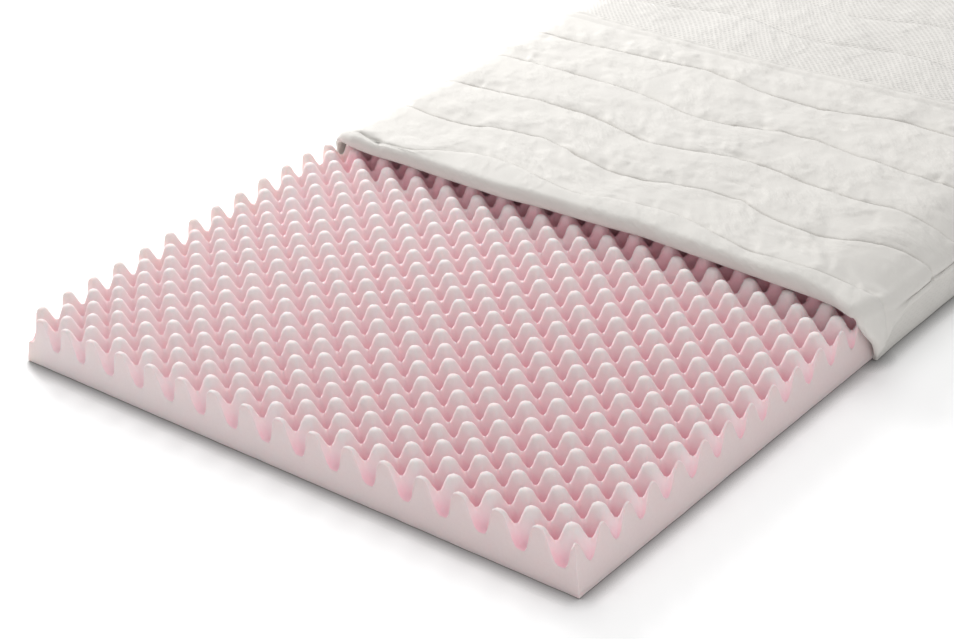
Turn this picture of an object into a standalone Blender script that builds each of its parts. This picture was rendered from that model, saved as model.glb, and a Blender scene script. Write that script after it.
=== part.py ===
"""A mattress topper: a profiled foam core in a quilted cover, which is folded back from the foot end."""

import math
from collections import namedtuple

import bmesh
import bpy
from mathutils import Matrix

# Sizes in metres. Across runs from the left side to the right, along from the foot end (0) to the head end.
NAME = "mattress_topper"
LENGTH = 2.0
WIDTH = 0.90
GAP = 0.0003
CLEARANCE = 0.003

# The foam's egg-box profile. A row is two half rows, and peaks stand over dimples in the next half row.
PEAK = 0.0725
DIMPLE = 0.033
FLAT_DIMPLES = 2.0
FLAT_TOPS = 2.5
PITCHES_ACROSS = 16.45
PITCH = WIDTH / PITCHES_ACROSS
RIGHT_CUT = 0.097
FOOT_CUT = -0.07
HALF_ROW = 0.4109 * PITCH
ROW_CROWDING = 0.0321 * PITCH
CROWDING_HALF_ROWS = 9.73
CROWDING_START = 3.75
PROFILED_HALF_ROWS = 27
PEAK_RING = 0.17

# The soft left side leans in at the foot end, and the cover presses both side edges down.
LEAN = 0.016
LEAN_HEIGHT = 0.045
LEAN_WIDTH = 0.15
LEAN_LENGTH = 0.60
PRESS_LEFT = 0.020
PRESS_RIGHT = 0.014
PRESSED_WIDTH = 0.08
PRESS_START = 0.54
PRESS_FULL = 0.60

# The quilted panel. Lift is a height above the foam, and both layers thin out towards the sides.
FOLDED_LIFT = 0.0195
ROLL_LIFT = 0.0065
ROLL_LENGTH = 0.07
LAYER_GAP = 0.0015
PUFF = 0.0025
HEM_LIFT = 0.0055
THIN_AT_LEFT = 0.32
THIN_AT_RIGHT = 0.45
THIN_AT_SIDE = 0.20
TOP_COLUMNS = 16
EDGE_COLUMNS = 3
SHOULDER_ANGLES = (30, 60, 90)
NOSE_ANGLES = (-60, -25, 10, 50)

# Where the stitched lines of the quilting cross the middle, and how each one slants and waves.
# along, slant, wave, phase
QUILT_LINES = (
    (0.586, -0.045, 0.014, 4.6),
    (0.669, -0.041, 0.012, 4.9),
    (0.760, -0.030, 0.014, 5.0),
    (0.853, -0.043, 0.012, 5.4),
    (0.960, -0.015, 0.013, 5.2),
)
FREE_EDGE = (1.057, -0.030, 0.005, 4.6)
WAVE_LENGTH = 0.305
FAR_LINES = 9
FLAP_PARTS = 3
FAR_PARTS = 2

# The front of the fold, on top and then down each side.
# across, along
FOLD_FRONT = (
    (-0.450, 0.590),
    (-0.425, 0.572),
    (-0.380, 0.560),
    (-0.300, 0.556),
    (0.150, 0.554),
    (0.270, 0.549),
    (0.380, 0.543),
    (0.420, 0.535),
    (0.450, 0.520),
)
# height, along on the left, along on the right
FOLD_SIDES = (
    (0.000, 0.580, 0.558),
    (0.037, 0.590, 0.544),
    (0.057, 0.592, 0.531),
    (0.085, 0.590, 0.517),
)
# The lower edge of the turned-down sides, above the border strip. The left one starts later and stays lower.
# along, height
SIDE_EDGE = (
    (0.558, 0.003),
    (0.585, 0.034),
    (0.620, 0.0515),
    (0.680, 0.053),
)
LEFT_SHIFT = 0.020
LEFT_SHARE = 0.85

# The border strips below the turned-down sides, and the plain head border.
STRIP = 0.004
SEAM = 0.0025
HEAD_BORDER_RISE = 0.006

FOAM_PINK = (0.80, 0.56, 0.60, 1)
QUILT_WHITE = (0.84, 0.83, 0.80, 1)
BORDER_WHITE = (0.80, 0.79, 0.76, 1)

COVERED_END = LENGTH - STRIP - 2 * GAP

Line = namedtuple("Line", "along slant wave phase")
Row = namedtuple("Row", "near far share lift")
Column = namedtuple("Column", "across angle drop")


def clear_scene():
    for obj in list(bpy.data.objects):
        bpy.data.objects.remove(obj)


def smooth(value, start, end):
    """0 before start, 1 after end, with a soft rise between."""
    t = min(max((value - start) / (end - start), 0.0), 1.0)
    return t * t * (3 - 2 * t)


def read(table, value, column=1):
    """The table's column at a value of its first one, on straight lines between the rows."""
    if value <= table[0][0]:
        return table[0][column]
    for low, high in zip(table, table[1:]):
        if value <= high[0]:
            t = (value - low[0]) / (high[0] - low[0])
            return low[column] + t * (high[column] - low[column])
    return table[-1][column]


def material(name, colour, roughness):
    mat = bpy.data.materials.new(name)
    mat.use_nodes = True
    shader = mat.node_tree.nodes["Principled BSDF"]
    shader.inputs["Base Color"].default_value = colour
    shader.inputs["Roughness"].default_value = roughness
    shader.inputs["Metallic"].default_value = 0.0
    return mat


def add_object(name, data, collection, mat):
    obj = bpy.data.objects.new(name, data)
    data.materials.append(mat)
    collection.objects.link(obj)
    return obj


def place(across, along, height):
    return (across, along - LENGTH / 2, height)


def row_along(half_row):
    """Where a half row lies: the rows crowd together and spread apart in slow waves."""

    def crowding(at):
        return math.sin(2 * math.pi * (at - CROWDING_START) / CROWDING_HALF_ROWS)

    shift = crowding(half_row) - crowding(FOOT_CUT)
    return HALF_ROW * (half_row - FOOT_CUT) - ROW_CROWDING * shift


def edge_share(across):
    """0 over the middle, and up to 1 at a side edge."""
    return max(abs(across) - WIDTH / 2 + PRESSED_WIDTH, 0.0) / PRESSED_WIDTH


def foam_top(across, along):
    """Height of the foam's tops."""
    press = PRESS_LEFT if across < 0 else PRESS_RIGHT
    return PEAK - press * edge_share(across) ** 2 * smooth(along, PRESS_START, PRESS_FULL)


def side_edge(across, along):
    """Height of the turned-down side's lower edge."""
    if across < 0:
        return LEFT_SHARE * read(SIDE_EDGE, along - LEFT_SHIFT)
    return read(SIDE_EDGE, along)


def profile(pitches, rows):
    """Height of the egg-box profile, from 0 in a dimple to 1 on a peak."""
    wave = math.cos(2 * math.pi * pitches) * math.cos(2 * math.pi * rows)
    return 1 - (1 - ((1 + wave) / 2) ** FLAT_DIMPLES) ** FLAT_TOPS


def lean(across, along, height):
    """How far the left side leans in."""
    near = 1 - smooth(across, -WIDTH / 2, -WIDTH / 2 + LEAN_WIDTH)
    return LEAN * near * min(height / LEAN_HEIGHT, 1.0) * max(1 - along / LEAN_LENGTH, 0.0)


def open_edges(bm):
    return [edge for edge in bm.edges if edge.is_boundary]


def edges_beyond(edges, limit):
    """The edges that lie wholly past this place towards the head end."""
    return [edge for edge in edges if all(vert.co.y > limit for vert in edge.verts)]


def extend(bm, edges, move):
    """Extrudes open edges, puts each new point where move says, and gives the new open edges."""
    made = bmesh.ops.extrude_edge_only(bm, edges=edges)["geom"]
    for vert in made:
        if isinstance(vert, bmesh.types.BMVert):
            vert.co = move(vert.co)
    return [edge for edge in made if isinstance(edge, bmesh.types.BMEdge) and edge.is_boundary]


def closed_mesh(bm, name):
    """Closes what is still open, turns the faces outwards and stores the mesh."""
    bmesh.ops.holes_fill(bm, edges=open_edges(bm), sides=0)
    bmesh.ops.recalc_face_normals(bm, faces=bm.faces[:])
    bmesh.ops.triangulate(bm, faces=bm.faces[:])
    mesh = bpy.data.meshes.new(name)
    bm.to_mesh(mesh)
    bm.free()
    return mesh


def profiled_top():
    """The open profiled surface, laid out in pitches and rows, then moved to its real place."""
    bm = bmesh.new()
    columns = 2 * math.ceil(PITCHES_ACROSS) + 2
    rows = PROFILED_HALF_ROWS + 3
    scale = Matrix.Diagonal((columns / 2, rows / 2, 1, 1))
    middle = Matrix.Translation((columns / 4 - 0.5, rows / 4 - 1, 0))
    bmesh.ops.create_grid(bm, x_segments=columns, y_segments=rows, size=0.5, matrix=middle @ scale)
    inner = [vert for vert in bm.verts if not vert.is_boundary]
    peaks = [vert for vert in inner if round(2 * vert.co.x + 2 * vert.co.y) % 2 == 0]
    bmesh.ops.bevel(
        bm, geom=peaks, offset=PEAK_RING, offset_type="OFFSET", affect="VERTICES", segments=1
    )
    bmesh.ops.poke(bm, faces=bm.faces[:], center_mode="MEAN")
    cuts = (
        ((RIGHT_CUT, 0, 0), (-1, 0, 0)),
        ((RIGHT_CUT + PITCHES_ACROSS, 0, 0), (1, 0, 0)),
        ((0, FOOT_CUT / 2, 0), (0, -1, 0)),
        ((0, PROFILED_HALF_ROWS / 2, 0), (0, 1, 0)),
    )
    for point, away in cuts:
        geom = bm.verts[:] + bm.edges[:] + bm.faces[:]
        bmesh.ops.bisect_plane(
            bm, geom=geom, dist=1e-5, plane_co=point, plane_no=away, clear_outer=True
        )
    for vert in bm.verts:
        pitches, rows = vert.co.x, vert.co.y
        across = WIDTH / 2 - PITCH * (pitches - RIGHT_CUT)
        along = row_along(2 * rows)
        height = DIMPLE + (foam_top(across, along) - DIMPLE) * profile(pitches, rows)
        vert.co = place(across, along, height)
    return bm


def build_foam(collection):
    """Profiled where it shows, and a plain slab of the same height further under the cover."""
    bm = profiled_top()
    last_row = row_along(PROFILED_HALF_ROWS) - LENGTH / 2

    def slab_start(co):
        return (co.x, co.y + CLEARANCE, foam_top(co.x, PRESS_FULL))

    def slab_end(co):
        return place(co.x, COVERED_END, co.z)

    def floor(co):
        return (co.x, co.y, 0)

    back = edges_beyond(open_edges(bm), last_row - GAP)
    back = extend(bm, back, slab_start)
    extend(bm, edges_beyond(back, last_row + CLEARANCE / 2), slab_end)
    extend(bm, open_edges(bm), floor)
    for vert in bm.verts:
        vert.co.x += lean(vert.co.x, vert.co.y + LENGTH / 2, vert.co.z)
    mesh = closed_mesh(bm, "foam_core")
    return add_object("foam_core", mesh, collection, material("foam", FOAM_PINK, 0.95))


def straight(along):
    return Line(along, 0.0, 0.0, 0.0)


def line_along(line, across):
    """Where a stitched line or the free edge lies. Its wave fades out at the sides."""
    fade = 1 - smooth(edge_share(across), 0, 1)
    turn = 2 * math.pi * across / WAVE_LENGTH + line.phase
    return line.along + line.slant * across + line.wave * fade * math.sin(turn)


def on_line(line, lift):
    return Row(line, line, 0.0, lift)


def quilt_rows(lines, parts, low, high):
    """Rows across the quilting: each stitched line, then the puff up to the next one."""
    rows = []
    for near, far in zip(lines, lines[1:]):
        rows.append(Row(near, far, 0.0, low))
        rows += [Row(near, far, part / parts, high) for part in range(1, parts)]
    return rows


def far_lines():
    """Past the free edge the quilting goes on in like waves, which straighten towards the head end."""
    model = Line(*QUILT_LINES[-1])
    step = (COVERED_END - FREE_EDGE[0]) / FAR_LINES
    lines = [Line(*FREE_EDGE)]
    for i in range(1, FAR_LINES):
        lines.append(model._replace(along=FREE_EDGE[0] + step * i, slant=model.slant * (1 - i / FAR_LINES)))
    return lines + [straight(COVERED_END)]


def section_rows():
    """The closed outline of the folded panel: under it, up the fold, back over the flap, into the slot
    between the layers and out again, and on to the head end."""
    slant = -LEFT_SHIFT / WIDTH
    near_fold = [Line(along + LEFT_SHIFT / 2, slant, 0.0, 0.0) for along, _ in SIDE_EDGE[1:]]
    ends = [straight(COVERED_END), straight(FREE_EDGE[0])]
    flap_lines = [Line(*line) for line in QUILT_LINES + (FREE_EDGE,)]
    hem = Line(*FREE_EDGE)
    lower = (FOLDED_LIFT - LAYER_GAP) / 2
    upper = lower + LAYER_GAP
    under = [on_line(line, 0.0) for line in ends + near_fold[::-1]]
    fold = [Row(None, None, angle, 0.0) for angle in NOSE_ANGLES]
    flap = quilt_rows(flap_lines, FLAP_PARTS, FOLDED_LIFT - PUFF, FOLDED_LIFT + PUFF)
    edge = [on_line(hem, upper + HEM_LIFT), on_line(hem, upper)]
    slot = [on_line(line, upper) for line in near_fold[::-1]]
    slot += [on_line(line, lower) for line in near_fold]
    beyond = quilt_rows(far_lines(), FAR_PARTS, lower - PUFF / 2, lower + PUFF)
    return under + fold + flap + edge + slot + beyond + [on_line(ends[0], HEM_LIFT)]


def top_columns():
    """Even columns over the middle, and closer ones over the pressed edges."""
    inner = WIDTH / 2 - PRESSED_WIDTH
    middle = [inner * (2 * i / TOP_COLUMNS - 1) for i in range(TOP_COLUMNS + 1)]
    edge = [inner + PRESSED_WIDTH * i / EDGE_COLUMNS for i in range(1, EDGE_COLUMNS + 1)]
    return [-across for across in edge[::-1]] + middle + edge


def panel_columns():
    """The columns from the left side's lower edge, over the top, to the right side's."""
    right = [Column(WIDTH / 2, angle, 0) for angle in SHOULDER_ANGLES]
    right.append(Column(WIDTH / 2, SHOULDER_ANGLES[-1], 1))
    left = [column._replace(across=-WIDTH / 2) for column in right[::-1]]
    return left + [Column(across, 0, 0) for across in top_columns()] + right


def thinning(column):
    """How thin the layers are here, as a share of the middle."""
    thinnest = THIN_AT_LEFT if column.across < 0 else THIN_AT_RIGHT
    top = 1 - (1 - thinnest) * edge_share(column.across) ** 2
    return top + (THIN_AT_SIDE - top) * column.angle / 90


def cover_point(column, along, lift):
    """A point of the panel: over the top, round the shoulder or down the side."""
    reach = CLEARANCE + lift * thinning(column)
    turn = math.radians(column.angle)
    out = math.copysign(reach * math.sin(turn), column.across)
    height = foam_top(column.across, along) + reach * math.cos(turn)
    height += column.drop * (side_edge(column.across, along) - height)
    return place(column.across + out, along, height)


def fold_front(column):
    """How far forward the fold reaches in this column."""
    if column.angle == 0:
        return read(FOLD_FRONT, column.across)
    height = PEAK * (1 - column.drop) + CLEARANCE * math.cos(math.radians(column.angle))
    return read(FOLD_SIDES, height, 1 if column.across < 0 else 2)


def panel_point(column, row):
    """Where a row of the outline meets a column."""
    front = fold_front(column)
    if row.near is None:
        turn = math.radians(row.share)
        half = (FOLDED_LIFT + ROLL_LIFT) / 2
        along = front + half * thinning(column) * (1 - math.cos(turn))
        return cover_point(column, along, half * (1 + math.sin(turn)))
    near = line_along(row.near, column.across)
    far = line_along(row.far, column.across)
    along = near + (far - near) * row.share
    roll = 0.0
    if row.lift >= FOLDED_LIFT - PUFF:
        roll = ROLL_LIFT * (1 - smooth(along, front, front + ROLL_LENGTH))
    return cover_point(column, along, row.lift + roll)


def build_panel(collection):
    """The quilted panel and its turned-down sides, folded back on itself as one solid."""
    rows, columns = section_rows(), panel_columns()
    across, round_it = len(columns) - 1, len(rows)
    bm = bmesh.new()
    bmesh.ops.create_grid(bm, x_segments=across, y_segments=round_it, size=0.5)
    for vert in bm.verts:
        column = columns[round((vert.co.x + 0.5) * across)]
        row = rows[round((vert.co.y + 0.5) * round_it) % round_it]
        vert.co = panel_point(column, row)
    bmesh.ops.remove_doubles(bm, verts=bm.verts[:], dist=1e-6)
    mesh = closed_mesh(bm, "cover_panel")
    return add_object("cover_panel", mesh, collection, material("quilt", QUILT_WHITE, 0.9))


def strip(name, points, collection, mat):
    """A flat outline in the curve's own plane, as thick as a border strip."""
    curve = bpy.data.curves.new(name, "CURVE")
    curve.dimensions = "2D"
    curve.fill_mode = "BOTH"
    curve.extrude = STRIP / 2
    spline = curve.splines.new("POLY")
    spline.points.add(len(points) - 1)
    for point, (x, y) in zip(spline.points, points):
        point.co = (x, y, 0, 1)
    spline.use_cyclic_u = True
    return add_object(name, curve, collection, mat)


def build_side_borders(collection, mat):
    """The strips that close the long sides below the panel, cut to follow its lower edge."""
    end = COVERED_END - LENGTH / 2
    for name, sign, shift in (("border_left", -1, LEFT_SHIFT), ("border_right", 1, 0.0)):
        start = shift + SEAM - LENGTH / 2
        top = [
            (start + along, side_edge(sign, along + shift) - SEAM) for along, _ in SIDE_EDGE[1:]
        ]
        foot = (start + SIDE_EDGE[0][0], 0.0)
        points = [foot] + top + [(end, top[-1][1]), (end, 0.0)]
        border = strip(name, points, collection, mat)
        border.location = (sign * (WIDTH / 2 + GAP + STRIP / 2), 0, 0)
        border.rotation_euler = (math.pi / 2, 0, math.pi / 2)


def build_head_border(collection, mat):
    """The border across the head end, which follows the panel's top."""
    half = WIDTH / 2 + GAP + STRIP
    top = [(x, foam_top(x, COVERED_END) + HEAD_BORDER_RISE) for x in top_columns()]
    corner = top[0][1] - HEAD_BORDER_RISE
    points = [(-half, 0.0), (half, 0.0), (half, corner)] + top[::-1] + [(-half, corner)]
    border = strip("border_head", points, collection, mat)
    border.location = (0, LENGTH / 2 - STRIP / 2, 0)
    border.rotation_euler = (math.pi / 2, 0, 0)


def main():
    clear_scene()
    collection = bpy.data.collections.new(NAME)
    bpy.context.scene.collection.children.link(collection)
    build_foam(collection)
    build_panel(collection)
    border_cloth = material("border", BORDER_WHITE, 0.9)
    build_side_borders(collection, border_cloth)
    build_head_border(collection, border_cloth)


main()
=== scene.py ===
"""The looks of a mattress topper: egg-box foam in a quilted cover that is folded back from the foot end."""

import math
from collections import namedtuple

import bmesh
import bpy
import numpy as np
from bpy.props import FloatProperty, FloatVectorProperty, IntProperty, PointerProperty
from mathutils import Matrix, Vector, noise


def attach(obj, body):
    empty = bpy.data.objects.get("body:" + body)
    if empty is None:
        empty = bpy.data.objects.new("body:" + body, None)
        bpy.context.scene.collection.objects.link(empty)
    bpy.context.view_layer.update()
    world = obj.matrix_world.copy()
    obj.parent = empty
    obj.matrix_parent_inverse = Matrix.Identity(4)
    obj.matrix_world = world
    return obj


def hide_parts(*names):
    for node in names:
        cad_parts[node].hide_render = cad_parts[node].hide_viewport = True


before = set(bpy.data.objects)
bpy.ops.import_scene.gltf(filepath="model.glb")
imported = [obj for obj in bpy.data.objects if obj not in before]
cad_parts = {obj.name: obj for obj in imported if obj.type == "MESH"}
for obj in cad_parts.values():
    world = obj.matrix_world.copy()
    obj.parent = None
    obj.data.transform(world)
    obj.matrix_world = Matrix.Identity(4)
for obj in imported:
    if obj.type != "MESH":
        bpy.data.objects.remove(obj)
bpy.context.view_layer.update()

bl_info = {
    "name": "Mattress topper",
    "version": (1, 0, 0),
    "blender": (4, 5, 0),
    "location": "3D View > Sidebar > Topper",
    "description": "Dresses a mattress topper with its foam, its folded quilted cover and its borders",
    "category": "Object",
}

# Sizes in metres. Across runs from the left side to the right, along from the foot end to the head end.
LENGTH = 2.0
WIDTH = 0.90
GAP = 0.0003
CLEARANCE = 0.003

# The foam's egg-box profile. A row is two half rows, and peaks stand over dimples in the next half row.
PEAK = 0.0725
DIMPLE = 0.033
FLAT_DIMPLES = 2.0
FLAT_TOPS = 2.5
PITCHES_ACROSS = 16.45
PITCH = WIDTH / PITCHES_ACROSS
RIGHT_CUT = 0.097
FOOT_CUT = -0.07
HALF_ROW = 0.4109 * PITCH
ROW_CROWDING = 0.0321 * PITCH
CROWDING_HALF_ROWS = 9.73
CROWDING_START = 3.75
PROFILED_HALF_ROWS = 31
CUT_ROUNDING = 0.0025
BASE_HEIGHT = 0.0015
BASE_INSET = 0.0012
# Random mottle, and painted light that makes the foam paler towards its left side.
MOTTLE_AND_LIT_SIDE_FOAM = (0.95, 0.87, 0.87, 1)
# A painted sheen where the foam is seen edge-on.
RIM_SHEEN_FOAM = (1.0, 0.86, 0.87, 1)

# The soft left side leans in at the foot end, and the cover presses both side edges down.
LEAN = 0.016
LEAN_HEIGHT = 0.045
LEAN_WIDTH = 0.15
LEAN_LENGTH = 0.60
PRESS_LEFT = 0.020
PRESS_RIGHT = 0.014
PRESSED_WIDTH = 0.08
PRESS_START = 0.54
PRESS_FULL = 0.60

# The quilted panel. Lift is a height above the foam, and both layers thin out towards the sides.
FOLDED_LIFT = 0.0195
ROLL_LIFT = 0.0065
ROLL_LENGTH = 0.07
LAYER_GAP = 0.0015
HEM_LIFT = 0.0055
SEAM_DEPTH = 0.0027
SEAM_WIDTH = 0.0018
HEM_SHADE = 280.0
THIN_AT_LEFT = 0.22
THIN_AT_RIGHT = 0.70
THIN_ON_LEFT_SIDE = 0.20
THIN_ON_RIGHT_SIDE = 0.46
SIDE_BULGE = 0.004
SHOULDER_GIRTH = 0.01
SIDE_GIRTH = 0.045

# How steeply a puff rises behind its near line, and falls before its far one.
FLAP_PUFF = (7.0, 30.0)
FAR_PUFF = (12.0, 26.0)

# The grooves that the hem is sewn with: place before the free edge, width, depth.
HEM_GROOVES = (
    (0.008, 0.003, 0.0024),
    (0.024, 0.004, 0.0018),
)

# The knit's rows and the dashes in a row, and the cover's shades.
KNIT_ROW = 0.0045
KNIT_DASH = 0.009
TINTED_CLOTH = (0.93, 0.92, 0.90, 1)
HOLE_SHADE = (0.45, 0.44, 0.42, 1)
GROOVE_SHADE = (0.40, 0.385, 0.365, 1)

# The flap's stitched lines from the roll back to the free edge, as they wander over the cloth.
# across, along
ROLL_LINE = (
    (-0.450, 0.590),
    (-0.400, 0.566),
    (-0.330, 0.558),
    (-0.297, 0.558),
    (-0.265, 0.563),
    (-0.243, 0.577),
    (-0.218, 0.589),
    (-0.188, 0.596),
    (-0.155, 0.599),
    (-0.115, 0.593),
    (-0.072, 0.584),
    (-0.031, 0.575),
    (0.004, 0.573),
    (0.032, 0.579),
    (0.060, 0.585),
    (0.089, 0.589),
    (0.121, 0.590),
    (0.151, 0.589),
    (0.188, 0.582),
    (0.226, 0.572),
    (0.263, 0.563),
    (0.300, 0.558),
    (0.360, 0.557),
    (0.410, 0.560),
    (0.450, 0.561),
)
SECOND_LINE = (
    (-0.450, 0.686),
    (-0.339, 0.664),
    (-0.277, 0.665),
    (-0.219, 0.679),
    (-0.178, 0.683),
    (-0.146, 0.684),
    (-0.103, 0.675),
    (-0.069, 0.664),
    (-0.034, 0.657),
    (0.008, 0.652),
    (0.049, 0.654),
    (0.091, 0.665),
    (0.136, 0.672),
    (0.176, 0.669),
    (0.190, 0.671),
    (0.227, 0.655),
    (0.261, 0.647),
    (0.294, 0.641),
    (0.323, 0.642),
    (0.362, 0.648),
    (0.398, 0.664),
    (0.430, 0.672),
    (0.450, 0.673),
)
THIRD_LINE = (
    (-0.450, 0.768),
    (-0.202, 0.777),
    (-0.154, 0.774),
    (-0.125, 0.772),
    (-0.068, 0.757),
    (-0.024, 0.749),
    (-0.004, 0.746),
    (0.034, 0.751),
    (0.066, 0.756),
    (0.103, 0.762),
    (0.132, 0.765),
    (0.162, 0.764),
    (0.198, 0.757),
    (0.230, 0.752),
    (0.255, 0.748),
    (0.310, 0.742),
    (0.370, 0.746),
    (0.450, 0.736),
)
FOURTH_LINE = (
    (-0.450, 0.878),
    (-0.250, 0.872),
    (-0.150, 0.866),
    (-0.080, 0.856),
    (-0.030, 0.843),
    (0.004, 0.839),
    (0.037, 0.841),
    (0.073, 0.849),
    (0.101, 0.854),
    (0.123, 0.859),
    (0.180, 0.860),
    (0.250, 0.846),
    (0.330, 0.838),
    (0.450, 0.832),
)
FIFTH_LINE = (
    (-0.450, 0.976),
    (-0.300, 0.965),
    (-0.180, 0.968),
    (-0.080, 0.972),
    (0.030, 0.950),
    (0.130, 0.945),
    (0.250, 0.966),
    (0.350, 0.955),
    (0.450, 0.948),
)
FREE_EDGE = (
    (-0.450, 1.066),
    (-0.238, 1.051),
    (-0.148, 1.047),
    (-0.041, 1.044),
    (0.059, 1.047),
    (0.157, 1.047),
    (0.230, 1.045),
    (0.330, 1.050),
    (0.450, 1.043),
)
FLAP_LINES = (ROLL_LINE, SECOND_LINE, THIRD_LINE, FOURTH_LINE, FIFTH_LINE, FREE_EDGE)

# Past the free edge the quilting goes on in like waves: along at the middle, slant, wave and its phase.
FAR_LINE = (1.057, -0.015, 0.013, 5.2)
WAVE_LENGTH = 0.305
FAR_LINES = 9

# The front of the fold, on top and then down each side.
# across, along
FOLD_FRONT = (
    (-0.450, 0.586),
    (-0.428, 0.566),
    (-0.395, 0.550),
    (-0.350, 0.545),
    (-0.300, 0.546),
    (-0.217, 0.542),
    (-0.107, 0.538),
    (-0.043, 0.542),
    (0.056, 0.543),
    (0.117, 0.546),
    (0.200, 0.540),
    (0.309, 0.533),
    (0.398, 0.527),
    (0.425, 0.523),
    (0.450, 0.513),
)
# height, along on the left, along on the right
FOLD_SIDES = (
    (0.000, 0.580, 0.556),
    (0.037, 0.588, 0.540),
    (0.057, 0.590, 0.525),
    (0.085, 0.587, 0.511),
)
# The lower edge of the turned-down sides, above the border strip. The left one starts later and is lower.
# along, height
SIDE_EDGE = (
    (0.558, 0.005),
    (0.585, 0.034),
    (0.620, 0.0515),
    (0.680, 0.053),
)
LEFT_SHIFT = 0.020
LEFT_SHARE = 0.85

# The pinched folds that show most on the cloth's upper side: ridges where the depth is below 0.
# across, along, length, width, turn in degrees, depth
PINCHES = (
    (0.300, 0.622, 0.060, 0.0060, -24, 0.0030),
    (0.335, 0.606, 0.050, 0.0050, -28, 0.0034),
    (0.352, 0.596, 0.045, 0.0045, -34, -0.0024),
    (0.372, 0.590, 0.036, 0.0040, -40, 0.0024),
    (0.205, 0.655, 0.055, 0.0050, -28, 0.0026),
    (0.140, 0.610, 0.040, 0.0040, -26, 0.0018),
    (0.060, 0.602, 0.036, 0.0045, -22, 0.0018),
    (-0.020, 0.632, 0.042, 0.0040, -18, 0.0016),
    (-0.350, 0.560, 0.060, 0.0060, -20, 0.0030),
    (-0.385, 0.566, 0.050, 0.0050, -26, -0.0020),
    (-0.190, 0.612, 0.030, 0.0040, -26, 0.0016),
    (-0.110, 0.612, 0.036, 0.0040, -24, 0.0018),
    (0.020, 0.690, 0.050, 0.0055, -26, 0.0024),
    (-0.060, 0.700, 0.060, 0.0050, -22, 0.0026),
    (0.100, 0.712, 0.046, 0.0050, -22, 0.0022),
    (0.190, 0.705, 0.050, 0.0050, -18, 0.0020),
    (-0.140, 0.722, 0.050, 0.0050, -26, 0.0022),
    (0.010, 0.788, 0.060, 0.0060, -30, 0.0026),
    (0.075, 0.800, 0.050, 0.0050, -26, 0.0026),
    (-0.090, 0.812, 0.056, 0.0060, -24, 0.0022),
    (-0.060, 0.905, 0.070, 0.0060, -26, 0.0026),
    (0.060, 0.902, 0.050, 0.0055, -28, 0.0024),
    (0.000, 0.935, 0.060, 0.0070, -22, 0.0022),
)
SCATTERED_PINCHES = 240
PINCH_SEED = 11

# Beside each pinch the cloth rises by a share of its depth. Place and width are counted in its widths.
BESIDE_SHARE = 0.45
BESIDE_PLACE = 1.9
BESIDE_WIDTH = 1.3

# Where the cloth bulges broadly, most at the corner that comes down over the right side.
# across, along, height, radius, rise
SWELLS = (
    (0.455, 0.560, 0.060, 0.035, 0.0030),
    (0.452, 0.640, 0.066, 0.040, 0.0034),
    (0.452, 0.720, 0.068, 0.040, 0.0028),
    (0.320, 0.552, 0.085, 0.050, 0.0020),
    (0.060, 0.556, 0.085, 0.060, 0.0016),
    (-0.150, 0.556, 0.085, 0.050, 0.0020),
    (-0.370, 0.566, 0.080, 0.040, -0.0016),
)

# The border strips below the turned-down sides, and the plain head border.
STRIP = 0.004
SEAM = 0.0015
HEAD_BORDER_RISE = 0.006
STRIP_LUMPS = 0.0012
STRIP_RIPPLES = 0.0008
SIDE_STRIP_OUT = 0.0014
HEAD_STRIP_OUT = 0.0012

# The floor glows a little, and within this reach of the topper its colour and glow darken to a painted
# contact shadow.
FLOOR_SIZE = 30
FLOOR_GLOW = 0.13
CONTACT_REACH = 0.025
CONTACT_POWER = 1.7
CONTACT_SHADE = (0.12, 0.12, 0.12, 1)

# The photograph's camera: where it stands, a point that it looks at, its tilt to the side and its lens.
CAMERA_PLACE = (1.7023, -2.4009, 1.4251)
CAMERA_AIM = (0.0400, -0.6806, 0.0500)
CAMERA_TILT = math.radians(-6.43)
CAMERA_LENS = 85.31
CAMERA_SENSOR = 36.0

COVERED_END = LENGTH - STRIP - 2 * GAP

Columns = namedtuple("Columns", "across angle drop flat")
Row = namedtuple("Row", "along lift knit bulk groove")


class FoamSettings(bpy.types.PropertyGroup):
    """The foam core's profile and colours."""

    peak: FloatProperty(name="Peak", description="Height of the peaks", default=PEAK, unit="LENGTH")
    dimple: FloatProperty(name="Dimple", description="Height of the dimples", default=DIMPLE, unit="LENGTH")
    pitch: FloatProperty(name="Pitch", description="Peak to peak across", default=PITCH, unit="LENGTH")
    samples: IntProperty(name="Samples", description="Mesh columns for each pitch", default=16, min=4)
    unevenness: FloatProperty(
        name="Unevenness", description="How far the profile wanders", default=0.0012, unit="LENGTH"
    )
    # Tops, flanks and valleys are painted light and shade: pale on the peaks, pinker down in the dimples.
    top: FloatVectorProperty(
        name="Tops", description="Colour of the peaks", subtype="COLOR", size=4,
        default=(0.76, 0.70, 0.69, 1),
    )
    flank: FloatVectorProperty(
        name="Flanks", description="Colour half-way up", subtype="COLOR", size=4,
        default=(0.86, 0.68, 0.70, 1),
    )
    valley: FloatVectorProperty(
        name="Valleys", description="Colour of the dimples", subtype="COLOR", size=4,
        default=(0.86, 0.50, 0.57, 1),
    )
    cut: FloatVectorProperty(
        name="Cut faces", description="Colour of the cut edges", subtype="COLOR", size=4,
        default=(0.69, 0.575, 0.57, 1),
    )
    aged: FloatVectorProperty(
        name="Aged edge", description="Colour of the left edge", subtype="COLOR", size=4,
        default=(0.82, 0.70, 0.55, 1),
    )
    # Painted shade: a deep pink for the foam in the shaded pockets under the cover's fold.
    deep: FloatVectorProperty(
        name="Under the cover", description="Colour of the covered foam", subtype="COLOR", size=4,
        default=(0.99, 0.55, 0.62, 1),
    )
    covered: FloatProperty(
        name="Covered from", description="How far from the foot end the cover starts",
        default=0.560, unit="LENGTH",
    )


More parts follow.
